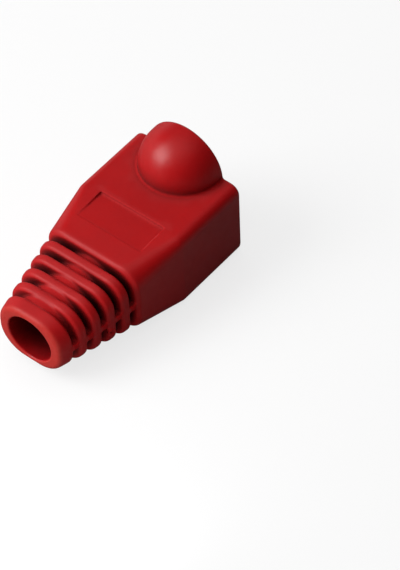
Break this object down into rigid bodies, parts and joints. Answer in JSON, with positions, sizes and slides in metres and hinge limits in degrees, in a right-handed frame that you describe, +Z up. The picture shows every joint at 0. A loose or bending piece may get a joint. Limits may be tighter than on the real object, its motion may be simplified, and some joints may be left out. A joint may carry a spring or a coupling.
{
  "type": "rj45 strain relief boot",
  "caption": "Soft moulded strain relief boot for an RJ45 plug: box housing with a hollow latch dome and a sunken panel, tapering to a slotted, ribbed tail with a round cable bore.",
  "frame": {"origin": "under the middle of the boot, on the plane of the housing's flat underside", "axes": "+Y along the cable from the plug mouth to the tail, +X across the boot, +Z up through the latch dome"},
  "size_m": [0.0144, 0.027, 0.0152],
  "materials": {
    "boot": "red soft PVC as moulded, satin with a fine grain"
  },
  "bodies": {
    "root": {"boot": "boot"}
  },
  "joints": []
}
